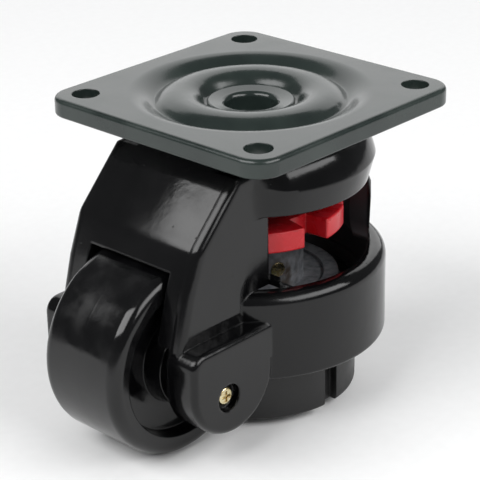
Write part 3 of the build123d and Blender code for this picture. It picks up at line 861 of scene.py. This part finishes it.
@dataclass(frozen=True)
class PressedCentre:
    """Dished rim, fold and ball arch pressed into the plate.

    Args:
        section_mm: radius and height of the upper face, from the clamped centre to the flat rim.
        flat_r_mm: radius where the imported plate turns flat.
        ring_step_mm: spacing of the rings that shape the dished rim.
        upper_z_mm: upper faces lie above this.
        clamp_r_mm: radius of the clamped centre and its rise.
        clamp_z_mm: upper faces of the clamped centre lie above this.
        rim_slack_mm: how far inside flat_r_mm the flat's own corners may lie.
        rim_wide_mm: width of the band that the flat's inner rim lies in.
    """

    section_mm: tuple[tuple[float, float], ...] = (
        (11.6, -3.5), (12.0, -3.2), (12.5, -2.6), (13.0, -1.95), (13.5, -1.4), (14.0, -0.95),
        (14.6, -0.6), (15.4, -0.3), (16.4, -0.1), (17.5, 0.0), (18.8, -0.03), (20.0, -0.2),
        (21.0, -0.5), (22.0, -0.95), (22.8, -1.5), (23.4, -2.05), (23.8, -2.4), (24.2, -2.5),
        (24.7, -2.35), (25.4, -1.95), (26.2, -1.42), (27.0, -0.95), (28.0, -0.5), (29.0, -0.2),
        (30.0, -0.05), (31.2, 0.0),
    )
    flat_r_mm: float = 26.2
    ring_step_mm: float = 0.42
    upper_z_mm: float = -2.6
    clamp_r_mm: float = 14.0
    clamp_z_mm: float = -3.6
    rim_slack_mm: float = 0.05
    rim_wide_mm: float = 0.2

    def height(self, radius: float) -> float:
        """Read the height of the upper face.

        Args:
            radius: distance from the swivel axis, in metres.

        Returns:
            The height in metres.
        """
        r = radius / MM
        for (r0, z0), (r1, z1) in zip(self.section_mm, self.section_mm[1:]):
            if r0 <= r <= r1:
                return (z0 + (z1 - z0) * (r - r0) / (r1 - r0)) * MM
        return 0.0

    def mesh(self) -> bpy.types.Mesh:
        """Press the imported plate's upper face.

        Returns:
            The pressed plate's mesh.
        """
        work = open_copy("top_plate")
        self.ring_the_flat(work)
        low_r, high_r = self.section_mm[0][0] * MM, self.section_mm[-1][0] * MM
        for vert in work.verts:
            radius = math.hypot(vert.co.x, vert.co.y)
            clamped = radius < self.clamp_r_mm * MM and vert.co.z > self.clamp_z_mm * MM
            if low_r < radius < high_r and (clamped or vert.co.z > self.upper_z_mm * MM):
                vert.co.z = self.height(radius)
        return close_copy(work, "pressed_plate")

    def ring_the_flat(self, work: bmesh.types.BMesh) -> None:
        """Part the flat upper face into rings round the pressed centre.

        Args:
            work: plate that is worked on.
        """
        edge_r = (self.flat_r_mm - self.rim_slack_mm) * MM
        rim_r = edge_r + self.rim_wide_mm * MM
        flat = [
            face for face in work.faces
            if face.normal.z > UPWARD
            and all(abs(v.co.z) < HAIR_MM * MM and v.co.xy.length > edge_r for v in face.verts)
        ]
        bmesh.ops.delete(work, geom=flat, context="FACES_ONLY")
        open_edges = [edge for edge in work.edges if edge.is_boundary]
        rim = [edge for edge in open_edges if all(v.co.xy.length < rim_r for v in edge.verts)]
        outer = [edge for edge in open_edges if edge not in set(rim)]
        corners = sorted({v for edge in rim for v in edge.verts}, key=lambda v: math.atan2(v.co.y, v.co.x))
        steps = int((self.section_mm[-1][0] - self.flat_r_mm) / self.ring_step_mm)
        last = corners
        for step in range(1, steps + 1):
            radius = (self.flat_r_mm + step * self.ring_step_mm) * MM
            ring = [
                work.verts.new((radius * v.co.x / v.co.xy.length, radius * v.co.y / v.co.xy.length, 0.0))
                for v in corners
            ]
            for k in range(len(ring)):
                n = (k + 1) % len(ring)
                work.faces.new((last[k], ring[k], ring[n], last[n]))
            last = ring
        hem = [work.edges.get((last[k], last[(k + 1) % len(last)])) for k in range(len(last))]
        bmesh.ops.triangle_fill(
            work, use_beauty=True, use_dissolve=False, edges=hem + outer, normal=(0.0, 0.0, 1.0)
        )


@dataclass(frozen=True)
class CastCollar:
    """Collar of the cast head: tapered band, crease, low dome and its blend into the fork.

    Args:
        arc_r_mm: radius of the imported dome's arc.
        arc_z_mm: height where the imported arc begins.
        foot_z_mm: lower edge of the collar.
        crease_z_mm: height of the crease between band and dome.
        crease_r_mm: radius at the crease.
        taper_mm: how much narrower the band is at its foot.
        lean_deg: lean of the dome at the crease.
        top_z_mm: upper face of the head.
        top_r_mm: radius where the dome meets the upper face.
        side_mm: outer face of the fork.
        hood_mm: what lies in front of this is the hood.
        blend_from_mm: where the blend leaves the fork's side.
        blend_to_mm: where the collar is full.
        foot_round_mm: rounding of the band's lower edge.
        foot_in_mm: how far inside the band that rounding reaches.
        arc_slack_mm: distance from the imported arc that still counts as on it.
    """

    arc_r_mm: float = 9.3
    arc_z_mm: float = -14.8
    foot_z_mm: float = -22.5
    crease_z_mm: float = -16.0
    crease_r_mm: float = 31.2
    taper_mm: float = 1.7
    lean_deg: float = 24.0
    top_z_mm: float = -5.5
    top_r_mm: float = 22.0
    side_mm: float = 21.0
    hood_mm: float = -24.0
    blend_from_mm: float = -23.0
    blend_to_mm: float = -16.0
    foot_round_mm: float = 0.35
    foot_in_mm: float = 0.75
    arc_slack_mm: float = 0.08

    def place(self, radius: float, height: float) -> tuple[float, float]:
        """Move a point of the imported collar's outline, in millimetres.

        Args:
            radius: its radius.
            height: its height.

        Returns:
            The new radius and height.
        """
        if height <= self.arc_z_mm:
            share = (self.arc_z_mm - height) / (self.arc_z_mm - self.foot_z_mm)
            lip = min(0.0, radius - (self.top_r_mm + self.arc_r_mm - self.foot_round_mm))
            drop = share * (self.crease_z_mm - self.foot_z_mm)
            return self.crease_r_mm - share * self.taper_mm + lip, self.crease_z_mm - drop
        lean = math.radians(self.lean_deg)
        turn = math.asin(min(1.0, (height - self.arc_z_mm) / self.arc_r_mm))
        turn = lean + turn * (1 - lean / (math.pi / 2))
        reach = self.crease_r_mm - self.top_r_mm
        rise = (math.sin(turn) - math.sin(lean)) / (1 - math.sin(lean))
        return (
            self.top_r_mm + reach * math.cos(turn) / math.cos(lean),
            self.crease_z_mm + (self.top_z_mm - self.crease_z_mm) * rise,
        )

    def mesh(self) -> bpy.types.Mesh:
        """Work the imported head's collar.

        Returns:
            The cast head's mesh.
        """
        work = open_copy("housing")
        slack = 2 * HAIR_MM
        for vert in work.verts:
            x, y, z = (c / MM for c in vert.co)
            radius = math.hypot(x, y)
            on_collar = self.foot_z_mm - slack < z < self.top_z_mm - slack and self.is_outer(radius, z)
            if not on_collar or x < self.hood_mm:
                continue
            share = smooth_step((x - self.blend_from_mm) / (self.blend_to_mm - self.blend_from_mm))
            new_r, new_z = self.place(radius, z)
            if abs(y) > self.side_mm:
                y = math.copysign(self.side_mm + (abs(y) - self.side_mm) * share, y)
            scale = 1 + (new_r / radius - 1) * share
            vert.co = (x * scale * MM, y * scale * MM, (z + (new_z - z) * share) * MM)
        return close_copy(work, "cast_head")

    def is_outer(self, radius: float, height: float) -> bool:
        """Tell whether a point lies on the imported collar's outer face.

        Args:
            radius: its radius in millimetres.
            height: its height in millimetres.

        Returns:
            True on the band or the dome.
        """
        if height <= self.arc_z_mm + HAIR_MM:
            return radius > self.top_r_mm + self.arc_r_mm - self.foot_in_mm
        arc_r = self.top_r_mm + math.sqrt(max(0.0, self.arc_r_mm**2 - (height - self.arc_z_mm) ** 2))
        return abs(radius - arc_r) < self.arc_slack_mm


@dataclass
class LiftingScrew:
    """Rolled screw thread between the dial's nut and the foot.

    Args:
        pitch_mm: rise of one turn.
        depth_mm: height of the thread.
        segments: points round one turn.
        rows_per_turn: rings of points in one pitch.
        flat_share: part of the pitch that is crest, and as much that is root.
    """

    pitch_mm: float = 1.5
    depth_mm: float = 0.9
    segments: int = 40
    rows_per_turn: int = 6
    flat_share: float = 0.12

    def mesh(self, low: Vector, high: Vector) -> bpy.types.Mesh:
        """Make the threaded rod.

        Args:
            low: lowest corner of the plain rod.
            high: highest corner of the plain rod.

        Returns:
            The rod's mesh.
        """
        radius = (high.x - low.x) / 2
        top, bottom, pitch = high.z, low.z, self.pitch_mm * MM
        steps = int((top - bottom) / pitch * self.rows_per_turn)
        rows = [[Vector((0, 0, bottom))] * self.segments]
        for step in range(steps + 1):
            z = bottom + (top - bottom) * step / steps
            row = []
            for k in range(self.segments):
                angle = 2 * math.pi * k / self.segments
                phase = (z / pitch - angle / (2 * math.pi)) % 1.0
                flank = abs(2 * phase - 1)
                crest = (flank - self.flat_share) / (1 - 2 * self.flat_share)
                crest = min(1.0, max(0.0, crest))
                run_out = min(1.0, (top - z) / pitch, (z - bottom) / pitch)
                reach = radius - self.depth_mm * MM * (1 - crest * run_out)
                row.append(Vector((reach * math.cos(angle), reach * math.sin(angle), z)))
            rows.append(row)
        rows.append([Vector((0, 0, top))] * self.segments)
        return grid_mesh("lifting_screw", rows)


@dataclass
class PlateGroup(SubAssembly):
    """Pressed plate, kingpin and the cup that carries the lower balls.

    Args:
        pressed: form of the plate's pressed centre.
    """

    body: Body = Body.PLATE
    pressed: PressedCentre = field(default_factory=PressedCentre)
    finishes: dict[str, Finish] = field(default_factory=lambda: {
        "kingpin": PlateElectrocoat(name="electrocoat_on_turned_pin", shiny=0.12, dull=0.2, edge_mm=0.4),
        "lower_cup": BearingSteel(name="pressed_cup_steel", dull=0.4),
    })

    def build(self, shop: PaintShop) -> None:
        """Press the plate and dress the pin and cup.

        Args:
            shop: keeps the materials.
        """
        plate = self.fit(
            self.pressed.mesh(), "pressed_plate", PlateElectrocoat(), "plate_ecoat", shop, "top_plate"
        )
        even_shading(plate)
        self.dress(shop)


@dataclass
class HeadGroup(SubAssembly):
    """Die-cast head with its races, balls, axle and keeper screws.

    Args:
        collar: form of the head's collar.
    """

    body: Body = Body.HEAD
    collar: CastCollar = field(default_factory=CastCollar)
    finishes: dict[str, Finish] = field(default_factory=lambda: {
        "upper_race": BearingSteel(),
        "head_race": BearingSteel(),
        "upper_balls": LappedSteel(),
        "lower_balls": LappedSteel(),
        "axle": ZincPlate(),
        "axle_washers": ZincPlate(name="zinc_washer", dull=0.42),
        "bearing_spacer": ZincPlate(name="zinc_spacer_tube", dull=0.4),
        "bearing_inner_rings": BearingSteel(name="inner_ring_steel", shiny=0.12, dull=0.28),
        "keeper_screws": YellowChromate(),
    })

    def build(self, shop: PaintShop) -> None:
        """Work the cast head and dress what it holds.

        Args:
            shop: keeps the materials.
        """
        head = self.fit(
            self.collar.mesh(), "cast_head", CastingEnamel(), "housing_paint", shop, "housing"
        )
        even_shading(head)
        self.dress(shop)


@dataclass
class WheelGroup(SubAssembly):
    """Nylon wheel with its two sealed bearings."""

    body: Body = Body.WHEEL
    finishes: dict[str, Finish] = field(default_factory=lambda: {
        "wheel": MouldedNylon(),
        "bearing_outer_rings": BearingSteel(name="outer_ring_steel", shiny=0.12, dull=0.28),
        "bearing_shields": PadRubber(name="rubber_coated_shield", edge_mm=0.15),
    })


@dataclass
class DialGroup(SubAssembly):
    """Red dial moulded round its steel nut."""

    body: Body = Body.DIAL
    finishes: dict[str, Finish] = field(default_factory=lambda: {
        "dial": RedAcetal(),
        "dial_nut": ZincPlate(name="zinc_nut", dull=0.42),
        "thrust_washer": BearingSteel(name="thrust_washer_steel", dull=0.38),
        "snap_ring": OiledSteel(name="spring_steel_ring", dull=0.44),
    })


@dataclass
class FootGroup(SubAssembly):
    """Lifting screw, cast foot core, lock screw and rubber pad.

    Args:
        screw: thread of the lifting screw.
    """

    body: Body = Body.FOOT
    screw: LiftingScrew = field(default_factory=LiftingScrew)
    finishes: dict[str, Finish] = field(default_factory=lambda: {
        "foot_core": BareCasting(),
        "foot_pad": PadRubber(),
        "hub_screw": YellowChromate(name="yellow_lock_screw"),
    })

    def build(self, shop: PaintShop) -> None:
        """Cut the lifting screw's thread and dress the foot.

        Args:
            shop: keeps the materials.
        """
        low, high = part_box("spindle")
        mesh = self.screw.mesh(Vector(low), Vector(high))
        self.fit(mesh, "lifting_screw", OiledSteel(), "screw_steel", shop, "spindle")
        self.dress(shop)


# --- studio -------------------------------------------------------------------------------
@dataclass(frozen=True)
class SoftLight:
    """One soft box that points at the castor.

    Args:
        name: lamp name.
        azimuth: direction it stands in, from +X towards +Y, in degrees.
        elevation: its height above the horizon in degrees.
        away: its distance in metres.
        wide: its width in metres.
        high: its height in metres.
        watts: its power.
        roll: turn about its own line of sight, in degrees.
        aim: what it points at, in metres.
    """

    name: str
    azimuth: float
    elevation: float
    away: float
    wide: float
    high: float
    watts: float
    roll: float = 0.0
    aim: tuple[float, float, float] = (-0.01, 0.0, -0.03)

    def hang(self) -> None:
        """Put the soft box in the scene."""
        lamp = bpy.data.lights.new(self.name, "AREA")
        lamp.shape = "RECTANGLE"
        lamp.size, lamp.size_y = self.wide, self.high
        lamp.energy = self.watts
        holder = bpy.data.objects.new(self.name, lamp)
        a, e = math.radians(self.azimuth), math.radians(self.elevation)
        line = Vector((math.cos(a) * math.cos(e), math.sin(a) * math.cos(e), math.sin(e)))
        roll = Matrix.Rotation(math.radians(self.roll), 3, "Z")
        turn = (-line).to_track_quat("-Z", "Y").to_matrix() @ roll
        holder.matrix_world = Matrix.Translation(Vector(self.aim) + line * self.away) @ turn.to_4x4()
        bpy.context.scene.collection.objects.link(holder)


@dataclass
class Studio:
    """Paper floor, soft boxes, room light and camera.

    Args:
        stand: camera position in metres.
        azimuth: camera azimuth in degrees.
        elevation: camera elevation in degrees.
        roll: camera roll in degrees.
        lens_mm: focal length.
        sensor_mm: width of the camera's sensor.
        nearest: distance in metres from where the camera sees.
        paper_half: half the paper's side in metres.
        room: brightness of the room.
        room_colour: colour of its light.
        lights: soft boxes.
    """

    stand: tuple[float, float, float] = (-0.3102, -0.2875, 0.1476)
    azimuth: float = -46.72
    elevation: float = 24.04
    roll: float = -1.03
    lens_mm: float = 134.6
    sensor_mm: float = 36.0
    nearest: float = 0.01
    paper_half: float = 3.0
    room: float = 0.18
    room_colour: str = "#f2f4f6"
    lights: tuple[SoftLight, ...] = (
        SoftLight("left_soft_box", 166.0, 44.0, 1.2, 1.2, 0.6, 12.5, 18.0),
        SoftLight("right_soft_box", -76.0, 38.0, 1.2, 1.2, 0.6, 11.0),
        SoftLight("back_paper", 44.0, 26.0, 1.5, 2.0, 1.15, 10.0),
    )

    def lay_floor(self, shop: PaintShop) -> None:
        """Lay the paper under the lowest point of the castor.

        Args:
            shop: keeps the materials.
        """
        mesh = bpy.data.meshes.new("paper_floor")
        signs = ((-1, -1), (1, -1), (1, 1), (-1, 1))
        corners = [(x * self.paper_half, y * self.paper_half, CAD_BOX[0][2]) for x, y in signs]
        mesh.from_pydata(corners, [], [(0, 1, 2, 3)])
        floor = bpy.data.objects.new("paper_floor", mesh)
        floor.data.materials.append(shop.mix(StudioPaper()))
        bpy.context.scene.collection.objects.link(floor)

    def light_room(self) -> None:
        """Set the even room light."""
        world = bpy.data.worlds.new("room")
        world.use_nodes = True
        background = world.node_tree.nodes["Background"]
        background.inputs["Color"].default_value = linear_colour(self.room_colour)
        background.inputs["Strength"].default_value = self.room
        bpy.context.scene.world = world

    def set_camera(self) -> None:
        """Stand the camera and make it the scene's own."""
        a, e, roll = (math.radians(v) for v in (self.azimuth, self.elevation, self.roll))
        back = Vector((math.sin(a) * math.cos(e), -math.cos(a) * math.cos(e), math.sin(e)))
        level = (-back).cross(Vector((0, 0, 1))).normalized()
        upright = level.cross(-back)
        right = math.cos(roll) * level + math.sin(roll) * upright
        up = math.cos(roll) * upright - math.sin(roll) * level
        turn = Matrix((right, up, back)).transposed().to_4x4()
        lens = bpy.data.cameras.new("camera")
        lens.lens = self.lens_mm
        lens.sensor_width = self.sensor_mm
        lens.clip_start = self.nearest
        camera = bpy.data.objects.new("camera", lens)
        camera.matrix_world = Matrix.Translation(self.stand) @ turn
        bpy.context.scene.collection.objects.link(camera)
        bpy.context.scene.camera = camera

    def build(self, shop: PaintShop) -> None:
        """Set up the whole studio.

        Args:
            shop: keeps the materials.
        """
        self.lay_floor(shop)
        self.light_room()
        for light in self.lights:
            light.hang()
        self.set_camera()
        bpy.context.scene.view_settings.view_transform = "Standard"


def main() -> None:
    """Build the castor's groups in order, then the studio."""
    logging.basicConfig(level=logging.INFO, format="%(name)s %(message)s")
    shop = PaintShop()
    groups: tuple[SubAssembly, ...] = (
        PlateGroup(), HeadGroup(), WheelGroup(), DialGroup(), FootGroup(),
    )
    for group in groups:
        group.build(shop)
        LOG.info("%s is complete", group.body.value)
    Studio().build(shop)


if __name__ == "__main__":
    main()
